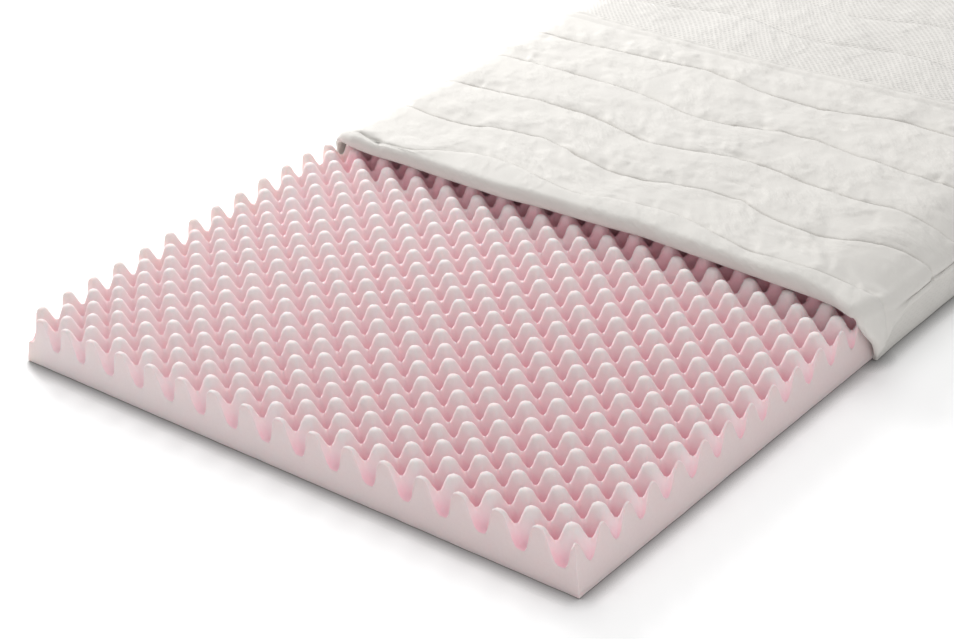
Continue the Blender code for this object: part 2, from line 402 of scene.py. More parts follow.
class CoverSettings(bpy.types.PropertyGroup):
    """The cover's quilting and colours."""

    puff: FloatProperty(
        name="Puff", description="Height of the quilting over its seams", default=0.0050, unit="LENGTH"
    )
    crumple: FloatProperty(
        name="Crumple", description="Height of the soft crumples", default=0.0020, unit="LENGTH"
    )
    backing: FloatVectorProperty(
        name="Backing", description="Colour of the cover's inner side", subtype="COLOR", size=4,
        default=(0.655, 0.634, 0.600, 1),
    )
    knit: FloatVectorProperty(
        name="Knit", description="Colour of the cover's outer side", subtype="COLOR", size=4,
        default=(0.650, 0.630, 0.598, 1),
    )


class StageSettings(bpy.types.PropertyGroup):
    """The floor and the light."""

    floor: FloatVectorProperty(
        name="Floor", description="Colour of the floor", subtype="COLOR", size=4,
        default=(0.97, 0.97, 0.97, 1),
    )
    sky: FloatProperty(name="Sky", description="Strength of the even light", default=0.41)
    key: FloatProperty(name="Key", description="Strength of the soft key light", default=1.12)
    rim: FloatProperty(name="Rim", description="Power of the low light from the back left", default=70.0)
    fill: FloatProperty(name="Fill", description="Power of the low light from the front", default=46.0)


class Value:
    """A number in a node tree. Python's operators on it add Math nodes."""

    def __init__(self, tree, socket):
        self.tree = tree
        self.socket = socket

    def __add__(self, other):
        return self.tree.math("ADD", self, other)

    def __sub__(self, other):
        return self.tree.math("SUBTRACT", self, other)

    def __mul__(self, other):
        return self.tree.math("MULTIPLY", self, other)

    def __truediv__(self, other):
        return self.tree.math("DIVIDE", self, other)

    def __pow__(self, other):
        return self.tree.math("POWER", self, other)

    def __rsub__(self, other):
        return self.tree.math("SUBTRACT", other, self)

    __radd__ = __add__
    __rmul__ = __mul__


class Tree:
    """Adds nodes to a node tree: settings are set first, then the sockets' values and links."""

    def __init__(self, node_tree):
        self.nodes = node_tree.nodes
        self.links = node_tree.links

    def node(self, kind, settings=None, sockets=None):
        made = self.nodes.new(kind)
        for name, value in (settings or {}).items():
            setattr(made, name, value)
        for name, value in (sockets or {}).items():
            self.fill(made.inputs[name], value)
        return made

    def fill(self, socket, value):
        if isinstance(value, Value):
            value = value.socket
        if isinstance(value, bpy.types.NodeSocket):
            self.links.new(value, socket)
        else:
            socket.default_value = value

    def value(self, kind, settings=None, sockets=None, output=0):
        return Value(self, self.node(kind, settings, sockets).outputs[output])

    def math(self, operation, *values):
        sockets = dict(enumerate(values))
        return self.value("ShaderNodeMath", {"operation": operation}, sockets)

    def ramp(self, value, start, end):
        """0 before start, 1 after end, with a soft rise between."""
        sockets = {"Value": value, "From Min": start, "From Max": end}
        return self.value("ShaderNodeMapRange", {"interpolation_type": "SMOOTHSTEP"}, sockets)

    def mix(self, share, first, second):
        sockets = {0: share, 6: first, 7: second}
        return self.node("ShaderNodeMix", {"data_type": "RGBA"}, sockets).outputs[2]

    def axes(self, vector):
        made = self.node("ShaderNodeSeparateXYZ", None, {0: vector})
        return [Value(self, socket) for socket in made.outputs]

    def vector(self, x, y, z):
        return self.node("ShaderNodeCombineXYZ", None, {0: x, 1: y, 2: z}).outputs[0]


def new_material(name, fixed):
    """A material with a Principled shader, whose fixed values are set on its own sockets."""
    mat = bpy.data.materials.new(name)
    mat.use_nodes = True
    shader = mat.node_tree.nodes["Principled BSDF"]
    for socket, value in fixed.items():
        shader.inputs[socket].default_value = value
    return mat, Tree(mat.node_tree), shader


def add_piece(name, mesh, *materials):
    piece = bpy.data.objects.new(name, mesh)
    for mat in materials:
        mesh.materials.append(mat)
    bpy.context.scene.collection.objects.link(piece)
    return piece


def smooth(value, start, end):
    """0 before start, 1 after end, with a soft rise between."""
    t = np.clip((value - start) / (end - start), 0.0, 1.0)
    return t * t * (3 - 2 * t)


def read(table, value, column=1, blur=0.0):
    """The table's column at values of its first one, on straight lines that a blur rounds off."""
    rows = np.array(table)
    steps = (-1, -0.5, 0, 0.5, 1) if blur else (0,)
    values = [np.interp(value + blur * step, rows[:, 0], rows[:, column]) for step in steps]
    return sum(values) / len(values)


def edge_share(across):
    """0 over the middle, and up to 1 at a side edge."""
    return np.maximum(np.abs(across) - WIDTH / 2 + PRESSED_WIDTH, 0.0) / PRESSED_WIDTH


def foam_top(across, along):
    """Height of the foam's tops."""
    press = np.where(across < 0, PRESS_LEFT, PRESS_RIGHT)
    return PEAK - press * edge_share(across) ** 2 * smooth(along, PRESS_START, PRESS_FULL)


def side_edge(across, along):
    """Height of the turned-down side's lower edge."""
    left = LEFT_SHARE * read(SIDE_EDGE, along - LEFT_SHIFT)
    return np.where(across < 0, left, read(SIDE_EDGE, along))


def lean(across, along, height):
    """How far the left side leans in."""
    near = 1 - smooth(across, -WIDTH / 2, -WIDTH / 2 + LEAN_WIDTH)
    return LEAN * near * min(height / LEAN_HEIGHT, 1.0) * max(1 - along / LEAN_LENGTH, 0.0)


def foam_material(settings):
    mat, tree, shader = new_material(
        "soft_foam",
        {
            "Roughness": 0.95,
            "Specular IOR Level": 0.2,
            "Sheen Weight": 0.35,
            "Sheen Roughness": 0.4,
            "Sheen Tint": (1.0, 0.9, 0.9, 1),
            "Subsurface Weight": 0.3,
            "Subsurface Radius": (1.0, 0.35, 0.42),
            "Subsurface Scale": 0.010,
        },
    )
    place = tree.node("ShaderNodeTexCoord").outputs["Object"]
    across, along, height = tree.axes(place)
    # Painted light and shade by height: pinker flanks and dimples, paler tops.
    middle = settings.dimple + (settings.peak - settings.dimple) * 0.55
    risen = tree.ramp(height, settings.dimple, middle)
    low = tree.mix(risen, tuple(settings.valley), tuple(settings.flank))
    tip = tree.ramp(height, middle, settings.peak)
    pink = tree.mix(tip, low, tuple(settings.top))
    blotches = tree.value("ShaderNodeTexNoise", None, {"Vector": place, "Scale": 14.0, "Detail": 4.0})
    aged_share = tree.ramp(across + blotches * 0.05, -0.375, -0.44) * 0.5
    cut = tree.node("ShaderNodeAttribute", {"attribute_name": "cut"}).outputs["Fac"]
    faced = tree.mix(cut, pink, tuple(settings.cut))
    colour = tree.mix(aged_share, faced, tuple(settings.aged))
    # Random mottle, and painted light: the foam is paler towards its left side.
    mottle = tree.value("ShaderNodeTexNoise", None, {"Vector": place, "Scale": 260.0, "Detail": 5.0})
    mottle_and_lit_side = mottle * 0.16 + tree.ramp(across, 0.35, -0.45) * 0.34
    pale = tree.mix(mottle_and_lit_side, colour, MOTTLE_AND_LIT_SIDE_FOAM)
    # Painted sheen: paler pink where the foam is seen edge-on, less so on the tops.
    facing = Value(tree, tree.node("ShaderNodeLayerWeight", None, {"Blend": 0.5}).outputs["Facing"])
    rim = tree.ramp(facing, 0.55, 0.95) * (0.9 - tip * 0.5)
    rim_sheened = tree.mix(rim, pale, RIM_SHEEN_FOAM)
    # Painted shade: the foam under the cover's fold, away from its cut faces and its far left, is tinted
    # deep pink.
    covered = tree.ramp(along + LENGTH / 2, settings.covered - 0.035, settings.covered)
    under_cover_shade = covered * (0.9 - tip * 0.45) * (1 - Value(tree, cut)) * tree.ramp(across, -0.44, -0.38)
    tree.links.new(tree.mix(under_cover_shade, rim_sheened, tuple(settings.deep)), shader.inputs["Base Color"])
    cells = tree.node("ShaderNodeTexVoronoi", None, {"Vector": place, "Scale": 900.0}).outputs[0]
    bump = tree.node("ShaderNodeBump", None, {"Strength": 0.35, "Distance": 0.0004, "Height": cells})
    tree.links.new(bump.outputs[0], shader.inputs["Normal"])
    return mat


def foam_tree(mat):
    """A grid of pitches and half rows, raised to the egg-box profile and put at its real place."""
    group = bpy.data.node_groups.new("profiled_foam", "GeometryNodeTree")
    group.interface.new_socket("Geometry", in_out="OUTPUT", socket_type="NodeSocketGeometry")
    for name in ("Pitch", "Peak", "Dimple", "Unevenness"):
        group.interface.new_socket(name, in_out="INPUT", socket_type="NodeSocketFloat")
    for name in ("Columns", "Rows"):
        group.interface.new_socket(name, in_out="INPUT", socket_type="NodeSocketInt")
    tree = Tree(group)
    sizes = tree.node("NodeGroupInput").outputs
    pitch, peak, dimple, uneven = [
        Value(tree, sizes[name]) for name in ("Pitch", "Peak", "Dimple", "Unevenness")
    ]
    inset_pitches = CUT_ROUNDING / PITCH
    inset_rows = CUT_ROUNDING / HALF_ROW
    pitches_wide = PITCHES_ACROSS - 2 * inset_pitches
    rows_long = PROFILED_HALF_ROWS - FOOT_CUT - inset_rows
    grid = tree.node(
        "GeometryNodeMeshGrid",
        None,
        {
            "Size X": pitches_wide,
            "Size Y": rows_long,
            "Vertices X": sizes["Columns"],
            "Vertices Y": sizes["Rows"],
        },
    )
    x, y, _ = tree.axes(tree.node("GeometryNodeInputPosition").outputs[0])
    pitches = x + (RIGHT_CUT + PITCHES_ACROSS / 2)
    half_rows = y + (FOOT_CUT + inset_rows + rows_long / 2)
    wave = tree.math("COSINE", pitches * (2 * math.pi)) * tree.math("COSINE", half_rows * math.pi)
    profile = 1 - (1 - ((1 + wave) * 0.5) ** FLAT_DIMPLES) ** FLAT_TOPS
    turn = 2 * math.pi / CROWDING_HALF_ROWS
    start = math.sin(turn * (FOOT_CUT - CROWDING_START))
    crowding = tree.math("SINE", (half_rows - CROWDING_START) * turn) - start
    across = WIDTH / 2 - pitch * (pitches - RIGHT_CUT)
    along = HALF_ROW * (half_rows - FOOT_CUT) - crowding * ROW_CROWDING
    wander = tree.node(
        "ShaderNodeTexNoise",
        {"noise_dimensions": "3D"},
        {"Vector": tree.vector(pitches, half_rows, 3.7), "Scale": 0.55, "Detail": 2.0},
    ).outputs[1]
    off_x, off_y, off_z = [(axis - 0.5) * uneven * 2 for axis in tree.axes(wander)]
    pressed = tree.math("MAXIMUM", tree.math("ABSOLUTE", across) - (WIDTH / 2 - PRESSED_WIDTH), 0.0)
    deepest = PRESS_RIGHT + tree.math("LESS_THAN", across, 0.0) * (PRESS_LEFT - PRESS_RIGHT)
    press = (pressed * (1 / PRESSED_WIDTH)) ** 2.0 * tree.ramp(along, PRESS_START, PRESS_FULL) * deepest
    height = dimple + (peak - press - dimple) * profile + off_z
    place = tree.vector(across + off_x * profile, along - LENGTH / 2 + off_y * profile, height)
    raised = tree.node("GeometryNodeSetPosition", None, {"Geometry": grid.outputs[0], "Position": place})
    whole = tree.node("GeometryNodeRealizeInstances", None, {0: raised.outputs[0]})
    coated = tree.node("GeometryNodeSetMaterial", None, {"Geometry": whole.outputs[0], "Material": mat})
    tree.links.new(coated.outputs[0], tree.node("NodeGroupOutput").inputs[0])
    return group


def made_by_nodes(name, data, group, values):
    """The plain mesh that a Geometry Nodes tree makes from an object's data and these input values."""
    source = bpy.data.objects.new(name, data)
    bpy.context.scene.collection.objects.link(source)
    modifier = source.modifiers.new(name, "NODES")
    modifier.node_group = group
    for socket in group.interface.items_tree:
        if socket.in_out == "INPUT" and socket.name in values:
            modifier[socket.identifier] = values[socket.name]
    shown = source.evaluated_get(bpy.context.evaluated_depsgraph_get())
    mesh = bpy.data.meshes.new_from_object(shown)
    bpy.data.objects.remove(source)
    return mesh


def open_edges(bm):
    return [edge for edge in bm.edges if edge.is_boundary]


def extend(bm, edges, move):
    """Extrudes open edges, puts each new point where move says, and gives the new open edges."""
    made = bmesh.ops.extrude_edge_only(bm, edges=edges)["geom"]
    for vert in made:
        if isinstance(vert, bmesh.types.BMVert):
            vert.co = move(vert.co)
    return [edge for edge in made if isinstance(edge, bmesh.types.BMEdge) and edge.is_boundary]


def outward(co, inset):
    """The way out of the foam's outline at a point that lies on it or within this inset."""
    side = math.copysign(1, co.x) if abs(co.x) > WIDTH / 2 - inset else 0
    foot = LENGTH / 2 - inset
    head = COVERED_END - LENGTH / 2 - inset
    end = -1 if co.y < -foot else (1 if co.y > head else 0)
    return Vector((side, end, 0))


def close_foam(mesh):
    """Adds the slab under the cover, the rounded cut edges, the walls and the underside."""
    bm = bmesh.new()
    bm.from_mesh(mesh)
    last_row = max(vert.co.y for vert in bm.verts)
    near = CUT_ROUNDING + 0.001

    def beyond(edges, limit):
        return [edge for edge in edges if all(vert.co.y > limit for vert in edge.verts)]

    def slab_start(co):
        top = foam_top(co.x, PRESS_FULL)
        return Vector((co.x, last_row + CLEARANCE, float(top)))

    def slab_end(co):
        return Vector((co.x, COVERED_END - LENGTH / 2 - CUT_ROUNDING, co.z))

    back = extend(bm, beyond(open_edges(bm), last_row - 0.002), slab_start)
    extend(bm, beyond(back, last_row + CLEARANCE / 2), slab_end)
    rim = open_edges(bm)
    angles = (30, 60, 90)
    for before, after in zip((0,) + angles, angles):
        out = CUT_ROUNDING * (math.sin(math.radians(after)) - math.sin(math.radians(before)))
        fall = CUT_ROUNDING * (math.cos(math.radians(before)) - math.cos(math.radians(after)))
        rim = extend(bm, rim, lambda co: co + outward(co, near) * out - Vector((0, 0, fall)))
    loops = 6
    for i in range(loops):
        share = 1 - 1 / (loops - i)
        rim = extend(bm, rim, lambda co: Vector((co.x, co.y, BASE_HEIGHT + (co.z - BASE_HEIGHT) * share)))
    extend(bm, rim, lambda co: co - outward(co, near) * BASE_INSET - Vector((0, 0, co.z)))
    bmesh.ops.holes_fill(bm, edges=open_edges(bm), sides=0)
    cut = bm.verts.layers.float.new("cut")
    for vert in bm.verts:
        vert[cut] = min(outward(vert.co, 0.0008).length, 1.0)
        vert.co.x += lean(vert.co.x, vert.co.y + LENGTH / 2, vert.co.z)
    bmesh.ops.recalc_face_normals(bm, faces=bm.faces[:])
    bm.to_mesh(mesh)
    bm.free()
    mesh.shade_smooth()
    mesh.set_sharp_from_angle(angle=math.radians(50))


class TOPPER_OT_foam(bpy.types.Operator):
    """Make the profiled foam core."""

    bl_idname = "topper.foam"
    bl_label = "Foam core"

    def execute(self, context):
        settings = context.scene.topper_foam
        mat = foam_material(settings)
        columns = round(PITCHES_ACROSS * settings.samples) + 1
        rows = round((PROFILED_HALF_ROWS - FOOT_CUT) * settings.samples / 2) + 1
        values = {
            "Pitch": settings.pitch,
            "Peak": settings.peak,
            "Dimple": settings.dimple,
            "Unevenness": settings.unevenness,
            "Columns": columns,
            "Rows": rows,
        }
        mesh = made_by_nodes("foam", bpy.data.meshes.new("foam"), foam_tree(mat), values)
        close_foam(mesh)
        mesh.materials.clear()
        piece = add_piece("foam", mesh, mat)
        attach(piece, "root")
        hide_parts("foam_core")
        return {"FINISHED"}


def panel_columns():
    """The columns from the left side's lower edge, over the top, to the right side's: how far across each
    one is, its angle round the shoulder, its share of the way down the side, and its flat place."""
    half = WIDTH / 2
    top = np.linspace(-half, half, 301)
    angles = np.linspace(15.0, 90.0, 6)
    drops = np.array([0.12, 0.25, 0.4, 0.55, 0.7, 0.85, 1.0])
    side = np.full(len(angles) + len(drops), half)
    side_angles = np.concatenate([angles, np.full(len(drops), 90.0)])
    side_drops = np.concatenate([np.zeros(len(angles)), drops])
    girth = half + side_angles / 90 * SHOULDER_GIRTH + side_drops * SIDE_GIRTH
    across = np.concatenate([-side[::-1], top, side])
    angle = np.concatenate([side_angles[::-1], np.zeros(len(top)), side_angles])
    drop = np.concatenate([side_drops[::-1], np.zeros(len(top)), side_drops])
    flat = np.concatenate([-girth[::-1], top, girth])
    return Columns(across, angle, drop, flat)


def thinning(columns):
    """How thin the layers are here, as a share of the middle."""
    left = columns.across < 0
    top = 1 - (1 - np.where(left, THIN_AT_LEFT, THIN_AT_RIGHT)) * edge_share(columns.across) ** 2
    side = np.where(left, THIN_ON_LEFT_SIDE, THIN_ON_RIGHT_SIDE)
    return (top + (side - top) * columns.angle / 90) * (1 - 0.55 * smooth(columns.drop, 0.6, 1.0))


def fold_front(columns):
    """How far forward the fold reaches in each column."""
    heights = PEAK * (1 - columns.drop) + CLEARANCE * np.cos(np.radians(columns.angle))
    left, right = read(FOLD_SIDES, heights, 1), read(FOLD_SIDES, heights, 2)
    side = np.where(columns.across < 0, left, right)
    return np.where(columns.angle == 0, read(FOLD_FRONT, columns.across, blur=0.012), side)


def far_lines(across, start):
    """Past the free edge the quilting goes on in like waves, which straighten towards the head end."""
    middle, slant, wave, phase = FAR_LINE
    fade = 1 - smooth(edge_share(across), 0, 1)
    waves = wave * fade * np.sin(2 * math.pi * across / WAVE_LENGTH + phase)
    step = (COVERED_END - middle) / FAR_LINES
    lines = [start]
    for i in range(1, FAR_LINES):
        lines.append(middle + step * i + slant * (1 - i / FAR_LINES) * across + waves)
    return lines + [np.full(len(across), COVERED_END)]


def puff(share, near_slope, far_slope):
    """The quilting's height between two stitched lines: a long rise, and a short steep fall."""
    rise = 1 - np.exp(-share * near_slope)
    return rise * (1 - np.exp(-(1 - share) * far_slope))


def puff_shares(parts):
    """Places between two stitched lines, closest by the seams."""
    half = [0.5 * (i / parts) ** 1.7 for i in range(parts + 1)]
    return half + [1 - share for share in half[-2:0:-1]]


def panel_rows(columns, settings):
    """The closed outline of the folded panel, from the head end under it, up the fold and over the flap,
    into the slot between the layers and out again, and back to the head end."""
    across, thin, front = columns.across, thinning(columns), fold_front(columns)
    lower = (FOLDED_LIFT - LAYER_GAP) / 2
    upper = lower + LAYER_GAP
    half = (FOLDED_LIFT + ROLL_LIFT) / 2
    near_knots = [knot[0] + LEFT_SHIFT / 2 - across * LEFT_SHIFT / WIDTH for knot in SIDE_EDGE[1:]]
    flap = [read(line, across, blur=0.006) for line in FLAP_LINES]
    hem = flap[-1]
    rows = []

    def add(along, lift, knit, bulk, groove=0.0):
        rows.append(Row(along + across * 0, lift + across * 0, knit, bulk, groove + across * 0))

    for along in (COVERED_END, 1.70, 1.40, 1.06, 0.86):
        add(along, 0.0, 0.0, 0.0)
    for knot in near_knots[::-1]:
        add(knot, 0.0, 0.0, 0.0)
    for angle in range(-84, 61, 12):
        nose = math.radians(angle)
        along = front + half * thin * (1 - math.cos(nose))
        add(along, half * (1 + math.sin(nose)), 0.0, smooth(angle, -60, 0))
    start = front + half * thin * (1 - math.cos(math.radians(60)))
    start_lift = half * (1 + math.sin(math.radians(60)))
    roll_line = np.maximum(flap[0], start + 0.006)
    crest = FOLDED_LIFT + ROLL_LIFT + 0.0012
    seam = FOLDED_LIFT - settings.puff / 2 + ROLL_LIFT * (1 - smooth(roll_line, front, front + ROLL_LENGTH))
    for share in (0.1, 0.22, 0.35, 0.5, 0.62, 0.73, 0.82, 0.89, 0.95):
        fall = np.exp(-(1 - share) * (roll_line - start) / 0.0030)
        lift = crest - (crest - start_lift) * (1 - share) ** 2 - (crest - seam) * fall
        add(start + (roll_line - start) * share, lift, 0.0, 1.0, 0.5 * fall)
    flap[0] = roll_line
    for near, far in zip(flap, flap[1:]):
        for share in puff_shares(13):
            along = near + (far - near) * share
            roll = ROLL_LIFT * (1 - smooth(along, front, front + ROLL_LENGTH))
            off_hem = hem - along
            hemmed = 0.0
            for place, width, depth in HEM_GROOVES:
                hemmed = hemmed + depth * np.exp(-(((off_hem - place) / width) ** 2))
            rise = puff(share, *FLAP_PUFF) * settings.puff - settings.puff / 2
            off_seam = np.minimum(along - near, far - along)
            stitched = np.exp(-((off_seam / SEAM_WIDTH) ** 2))
            lift = FOLDED_LIFT + roll + rise - hemmed - stitched * SEAM_DEPTH
            add(along, lift, 0.0, 1.0, 0.6 * stitched + hemmed * HEM_SHADE)
    for drop in (0.0, 0.15, 0.4, 0.7, 1.0):
        lift = upper + HEM_LIFT * math.sqrt(max(1 - drop * drop, 0))
        add(hem + drop * 0.0045, lift, 0.0, 0.4)
    for along in (0.90, 0.76):
        add(along, upper, 1.0, 0.0)
    for knot in near_knots[::-1]:
        add(knot, upper, 1.0, 0.0)
    for knot in near_knots:
        add(knot, lower, 1.0, 0.0)
    for along in (0.76, 0.90):
        add(along, lower, 1.0, 0.0)
    lines = far_lines(across, hem)
    for near, far in zip(lines, lines[1:]):
        for share in puff_shares(5):
            rise = puff(share, *FAR_PUFF) * settings.puff * 0.8 - settings.puff / 4
            groove = 0.6 if share == 0 else 0.0
            add(near + (far - near) * share, lower + rise, 1.0, 0.6, groove)
    add(COVERED_END, HEM_LIFT, 1.0, 0.0)
    add(COVERED_END, HEM_LIFT / 2, 1.0, 0.0)
    return rows


def panel_points(rows, columns):
    """Every point of the panel before it is crumpled, row by row."""
    across, angle, drop, _ = columns
    turn = np.radians(angle)
    thin = thinning(columns)
    bulge = SIDE_BULGE * np.sin(math.pi * 0.92 * drop)
    points = []
    for row in rows:
        reach = CLEARANCE + row.lift * thin
        out = np.copysign(reach * np.sin(turn) + bulge, across)
        height = foam_top(across, row.along) + reach * np.cos(turn)
        height = height + drop * (side_edge(across, row.along) - height)
        points.append(np.stack([across + out, row.along - LENGTH / 2, height], axis=1))
    return np.array(points)


def grid_normals(points):
    """The way out of a closed grid of points, from its neighbours in both directions."""
    along_rows = np.roll(points, -1, axis=0) - np.roll(points, 1, axis=0)
    along_columns = np.gradient(points, axis=1)
    normals = np.cross(along_columns, along_rows)
    return normals / np.maximum(np.linalg.norm(normals, axis=2, keepdims=True), 1e-12)


def cloth_noise(points, scale, seed, stretch=1.0, turn=0.0):
    """Soft noise from -1 to 1 over the cloth, stretched along a direction turned on its plan."""
    cos, sin = math.cos(turn), math.sin(turn)
    u = (points[:, 0] * cos + points[:, 1] * sin) * scale / stretch
    v = (points[:, 1] * cos - points[:, 0] * sin) * scale
    w = points[:, 2] * scale + seed
    return np.array([noise.noise(place) for place in zip(u, v, w)])


def scattered_pinches():
    """Small pinches like the listed ones, most of them just behind a stitched line."""
    rng = np.random.default_rng(PINCH_SEED)
    pinches = []
    for _ in range(SCATTERED_PINCHES):
        across = rng.uniform(-0.45, 0.45)
        line = FLAP_LINES[rng.integers(0, len(FLAP_LINES) - 1)]
        along = float(read(line, across)) + 0.006 + rng.exponential(0.026)
        length = rng.uniform(0.014, 0.048)
        turn = rng.normal(-24, 9)
        depth = rng.uniform(0.0007, 0.0022) * rng.choice((1, 1, -1))
        pinches.append((across, along, length, rng.uniform(0.0034, 0.0065), turn, depth))
    return pinches


def pinched(points):
    """How far the pinched folds push the cloth in, or out where it is below 0."""
    depth = np.zeros(len(points))
    for across, along, length, width, turn, deep in list(PINCHES) + scattered_pinches():
        cos, sin = math.cos(math.radians(turn)), math.sin(math.radians(turn))
        right = points[:, 0] - across
        ahead = points[:, 1] + LENGTH / 2 - along
        far = (right * cos + ahead * sin) / (length / 2)
        off = (ahead * cos - right * sin + 0.15 * length * far * far * np.sign(deep)) / width
        beside = BESIDE_SHARE * np.exp(-(((off - BESIDE_PLACE) / BESIDE_WIDTH) ** 2))
        depth += deep * np.exp(-far * far) * (np.exp(-off * off) - beside)
    return depth


def swelling(points):
    """Where the cloth bulges out broadly."""
    rise = np.zeros(len(points))
    for across, along, height, radius, swell in SWELLS:
        away = points - np.array([across, along - LENGTH / 2, height])
        rise += swell * np.exp(-(away * away).sum(axis=1) / radius**2)
    return rise


def crumpled(points, bulks, settings):
    """The panel's points, moved in and out by its bulges, crumples and pinched folds."""
    normals = grid_normals(points)
    moved = points.copy()
    for i, bulk in enumerate(bulks):
        if bulk > 0:
            row = points[i]
            broad = cloth_noise(row, 9.0, 1.3) * 1.3
            middling = cloth_noise(row, 24.0, 4.7, 1.8, math.radians(-20)) * 0.6
            pulls = cloth_noise(row, 50.0, 5.1, 2.4, math.radians(-24)) * 0.8
            off = settings.crumple * (broad + middling + pulls) - pinched(row) + swelling(row)
            moved[i] = row + normals[i] * (off * bulk)[:, None]
    return moved


def loop_mesh(name, points, layers):
    """A closed mesh from rings of points: rings[row][column], where the rows close on themselves and the
    first and last columns are capped. Layers are values of each point."""
    rows, columns, _ = points.shape
    index = np.arange(rows * columns).reshape(rows, columns)
    following = np.roll(index, -1, axis=0)
    corners = [index[:, :-1], index[:, 1:], following[:, 1:], following[:, :-1]]
    quads = np.stack(corners, axis=-1).reshape(-1, 4)
    mesh = bpy.data.meshes.new(name)
    mesh.from_pydata(points.reshape(-1, 3).tolist(), [], quads.tolist())
    for layer, values in layers.items():
        made = mesh.attributes.new(layer, "FLOAT", "POINT")
        made.data.foreach_set("value", values.astype(np.float32).ravel())
    return mesh


def finish_cloth(mesh):
    """Merges what meets, caps the ends, turns the faces outwards and shades the mesh smooth."""
    bm = bmesh.new()
    bm.from_mesh(mesh)
    bmesh.ops.remove_doubles(bm, verts=bm.verts[:], dist=1e-6)
    bmesh.ops.holes_fill(bm, edges=open_edges(bm), sides=0)
    bmesh.ops.recalc_face_normals(bm, faces=bm.faces[:])
    bm.to_mesh(mesh)
    bm.free()
    mesh.shade_smooth()


def cloth_material(name, settings, always_knit):
    """The cover's cloth: crumpled backing on its inner side, and a fine mesh knit on its outer side."""
    mat, tree, shader = new_material(
        name,
        {
            "Roughness": 0.9,
            "Specular IOR Level": 0.25,
            "Sheen Weight": 0.15,
            "Sheen Roughness": 0.5,
        },
    )
    flat = tree.node("ShaderNodeAttribute", {"attribute_name": "flat_across"}).outputs["Fac"]
    along = tree.node("ShaderNodeAttribute", {"attribute_name": "flat_along"}).outputs["Fac"]
    cloth = tree.vector(flat, along, 0.0)
    u, v, _ = tree.axes(cloth)
    knit_row = v / KNIT_ROW
    shift = tree.math("MODULO", tree.math("FLOOR", knit_row), 2.0) * 0.5
    in_row = tree.math("ABSOLUTE", tree.math("FRACT", knit_row) - 0.5)
    in_dash = tree.math("ABSOLUTE", tree.math("FRACT", u / KNIT_DASH + shift) - 0.5)
    hole = (1 - tree.ramp(in_row, 0.08, 0.22)) * (1 - tree.ramp(in_dash, 0.2, 0.32))
    if always_knit:
        holes = hole * 0.25
        base = tuple(settings.knit)
    else:
        knit = Value(tree, tree.node("ShaderNodeAttribute", {"attribute_name": "knit"}).outputs["Fac"])
        holes = hole * knit
        base = tree.mix(knit, tuple(settings.backing), tuple(settings.knit))
    tint = tree.value("ShaderNodeTexNoise", None, {"Vector": cloth, "Scale": 9.0, "Detail": 3.0})
    shaded = tree.mix(tint * 0.10, base, TINTED_CLOTH)
    open_knit = tree.mix(holes * 0.6, shaded, HOLE_SHADE)
    groove = Value(tree, tree.node("ShaderNodeAttribute", {"attribute_name": "groove"}).outputs["Fac"])
    colour = tree.mix(groove * 0.4, open_knit, GROOVE_SHADE)
    tree.links.new(colour, shader.inputs["Base Color"])
    turned = tree.node(
        "ShaderNodeMapping",
        {"vector_type": "TEXTURE"},
        {"Vector": cloth, "Rotation": (0, 0, math.radians(-25)), "Scale": (2.3, 1.0, 1.0)},
    )
    pulled = turned.outputs[0]
    pulls = tree.value("ShaderNodeTexNoise", None, {"Vector": pulled, "Scale": 70.0, "Detail": 3.0})
    spread = tree.value("ShaderNodeTexNoise", None, {"Vector": cloth, "Scale": 16.0})
    patches = tree.ramp(spread, 0.38, 0.62)
    weave = tree.value("ShaderNodeTexNoise", None, {"Vector": cloth, "Scale": 1400.0, "Detail": 1.0})
    height = pulls * (0.0014 + patches * 0.0036) + weave * 0.00012 - holes * 0.0006
    bump = tree.node("ShaderNodeBump", None, {"Strength": 0.7, "Distance": 1.0, "Height": height})
    tree.links.new(bump.outputs[0], shader.inputs["Normal"])
    return mat


class TOPPER_OT_cover(bpy.types.Operator):
    """Make the quilted panel, folded back on itself, with its turned-down sides."""

    bl_idname = "topper.cover"
    bl_label = "Folded cover"

    def execute(self, context):
        settings = context.scene.topper_cover
        columns = panel_columns()
        rows = panel_rows(columns, settings)
        points = panel_points(rows, columns)
        flat = np.tile(columns.flat, (len(rows), 1))
        steps = np.linalg.norm(np.roll(points, -1, axis=0) - points, axis=2).mean(axis=1)
        along = np.tile(np.concatenate([[0], np.cumsum(steps)[:-1]])[:, None], (1, len(columns.flat)))
        knit = np.tile(np.array([row.knit for row in rows])[:, None], (1, len(columns.flat)))
        groove = np.array([row.groove for row in rows])
        points = crumpled(points, [row.bulk for row in rows], settings)
        layers = {"flat_across": flat, "flat_along": along, "knit": knit, "groove": groove}
        mesh = loop_mesh("panel", points, layers)
        finish_cloth(mesh)
        piece = add_piece("quilted_panel", mesh, cloth_material("quilted_cloth", settings, False))
        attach(piece, "root")
        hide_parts("cover_panel")
        return {"FINISHED"}


def border_mesh(name, length, height, wave_seed, place):
    """A soft strip: a rounded section along its length, lumpy, with its top following a height."""
    around = np.linspace(0, 2 * math.pi, 29)[:-1]
    stations = np.linspace(0, length, max(int(length / 0.006), 2) + 1)
    points = []
    for s in stations:
        top = height(s)
        lump = noise.noise((s * 22, wave_seed, 0.0))
        half_thick = STRIP / 2 + STRIP_LUMPS * (1 + lump)
        z = top / 2 + (top / 2) * np.sign(np.sin(around)) * np.abs(np.sin(around)) ** 0.35
        off = half_thick * np.sign(np.cos(around)) * np.abs(np.cos(around)) ** 0.6
        bulge = np.array([noise.noise((s * 30, float(h) * 40, wave_seed)) for h in z]) * STRIP_RIPPLES
        points.append([place(s, float(o + b * np.sign(o)), float(h)) for o, b, h in zip(off, bulge, z)])
    return np.array(points)


